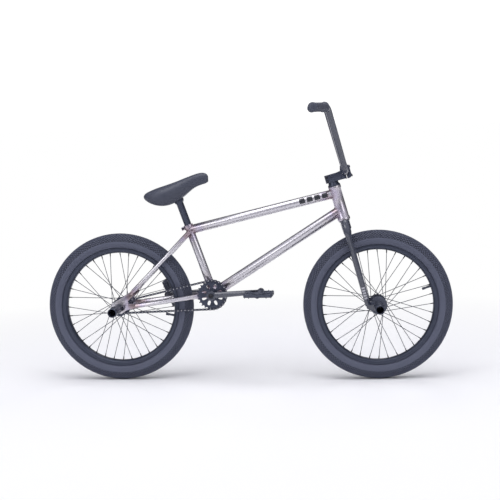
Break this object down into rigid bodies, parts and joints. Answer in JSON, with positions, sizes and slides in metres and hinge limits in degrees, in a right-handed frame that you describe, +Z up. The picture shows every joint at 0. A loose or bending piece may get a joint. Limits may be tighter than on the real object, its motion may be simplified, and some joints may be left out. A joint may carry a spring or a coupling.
{
  "type": "bmx bicycle",
  "caption": "Freestyle bicycle with small wheels, bare steel frame, high crossbar handlebar, platform pedals, short chain drive and axle pegs.",
  "frame": {"origin": "on the ground midway between the ends of the tyres, at the bottom centre of the bounding box", "axes": "+X forward along the frame, +Y to the rider's left, +Z up"},
  "size_m": [1.427, 0.7555, 0.9716],
  "materials": {
    "raw_steel": "clear-coated bare steel with straw and violet heat tint at the welds",
    "black_paint": "gloss",
    "black_alloy": "satin anodised",
    "chain_steel": "satin",
    "black_plastic": "satin moulded",
    "grip_rubber": "matte ribbed",
    "tyre_rubber": "matte knurled tread",
    "bearing_steel": "zinc plated",
    "saddle_cover": "matte black synthetic cover"
  },
  "bodies": {
    "frame": {"head_tube": "raw_steel", "top_tube": "raw_steel", "down_tube": "raw_steel", "seat_tube": "raw_steel", "bb_shell": "raw_steel", "chainstay_right": "raw_steel", "chainstay_left": "raw_steel", "seatstay_right": "raw_steel", "seatstay_left": "raw_steel", "dropout_right": "raw_steel", "dropout_left": "raw_steel", "seat_clamp": "raw_steel", "headset_bearing_upper": "bearing_steel", "headset_bearing_lower": "bearing_steel", "bb_bearing_right": "black_alloy", "bb_bearing_left": "black_alloy", "rear_axle": "bearing_steel", "rear_axle_nut_right": "bearing_steel", "rear_axle_nut_left": "bearing_steel", "rear_peg_right": "black_alloy", "rear_peg_left": "black_alloy", "chain": "chain_steel"},
    "steering": {"fork_steerer": "black_paint", "fork_leg_right": "black_paint", "fork_leg_left": "black_paint", "headset_cover": "black_alloy", "stem_body": "black_alloy", "stem_front_clamp": "black_alloy", "handlebar": "black_paint", "handlebar_crossbar": "black_paint", "grip_right": "grip_rubber", "grip_left": "grip_rubber", "bar_end_right": "black_plastic", "bar_end_left": "black_plastic", "front_axle": "bearing_steel", "front_axle_nut_right": "bearing_steel", "front_axle_nut_left": "bearing_steel", "front_peg_right": "black_alloy", "front_peg_left": "black_alloy", "front_hub_guard_right": "black_plastic", "front_hub_guard_left": "black_plastic"},
    "front_wheel": {"front_tyre": "tyre_rubber", "front_rim": "black_alloy", "front_hub": "black_alloy"},
    "rear_wheel": {"rear_tyre": "tyre_rubber", "rear_rim": "black_alloy", "rear_hub": "black_alloy"},
    "driver": {"driver_cog": "black_alloy"},
    "crank": {"crank_arm_right": "black_paint", "crank_arm_left": "black_paint", "crank_spindle": "black_alloy", "sprocket": "black_alloy", "pedal_spindle_right": "bearing_steel", "pedal_spindle_left": "bearing_steel"},
    "pedal_right": {"pedal_right": "black_plastic"},
    "pedal_left": {"pedal_left": "black_plastic"},
    "seat_post": {"seat_post": "black_alloy"},
    "saddle": {"saddle": "saddle_cover"}
  },
  "joints": [
    {"name": "steering_turn", "type": "hinge", "parent": "frame", "child": "steering", "pos_m": [0.42505, 0, 0.25213], "axis": [-0.2622, 0, 0.965], "continuous": true},
    {"name": "front_wheel_spin", "type": "hinge", "parent": "steering", "child": "front_wheel", "pos_m": [0.45389, 0.00262, 0.25997], "axis": [-0.0841, 0.9962, -0.0229], "continuous": true},
    {"name": "rear_wheel_spin", "type": "hinge", "parent": "frame", "child": "rear_wheel", "pos_m": [-0.454, 0, 0.26], "axis": [0, 1, 0], "continuous": true},
    {"name": "crank_spin", "type": "hinge", "parent": "frame", "child": "crank", "pos_m": [-0.12195, 0, 0.304], "axis": [0, 1, 0], "continuous": true, "deforming": ["chain"]},
    {"name": "driver_spin", "type": "hinge", "parent": "frame", "child": "driver", "pos_m": [-0.454, 0, 0.26], "axis": [0, 1, 0], "continuous": true},
    {"name": "pedal_right_spin", "type": "hinge", "parent": "crank", "child": "pedal_right", "pos_m": [0.05258, 0, 0.31682], "axis": [0, 1, 0], "continuous": true},
    {"name": "pedal_left_spin", "type": "hinge", "parent": "crank", "child": "pedal_left", "pos_m": [-0.29648, 0, 0.29118], "axis": [0, 1, 0], "continuous": true},
    {"name": "seat_height", "type": "slide", "parent": "frame", "child": "seat_post", "axis": [-0.3289, 0, 0.9444], "range_m": [-0.06, 0.02]},
    {"name": "seat_tilt", "type": "hinge", "parent": "seat_post", "child": "saddle", "pos_m": [-0.23705, 0, 0.63453], "axis": [0, 1, 0], "range_deg": [-10, 10]}
  ],
  "couplings": [
    {"joint": "driver_spin", "follows": "crank_spin", "ratio": 2.7778}
  ]
}
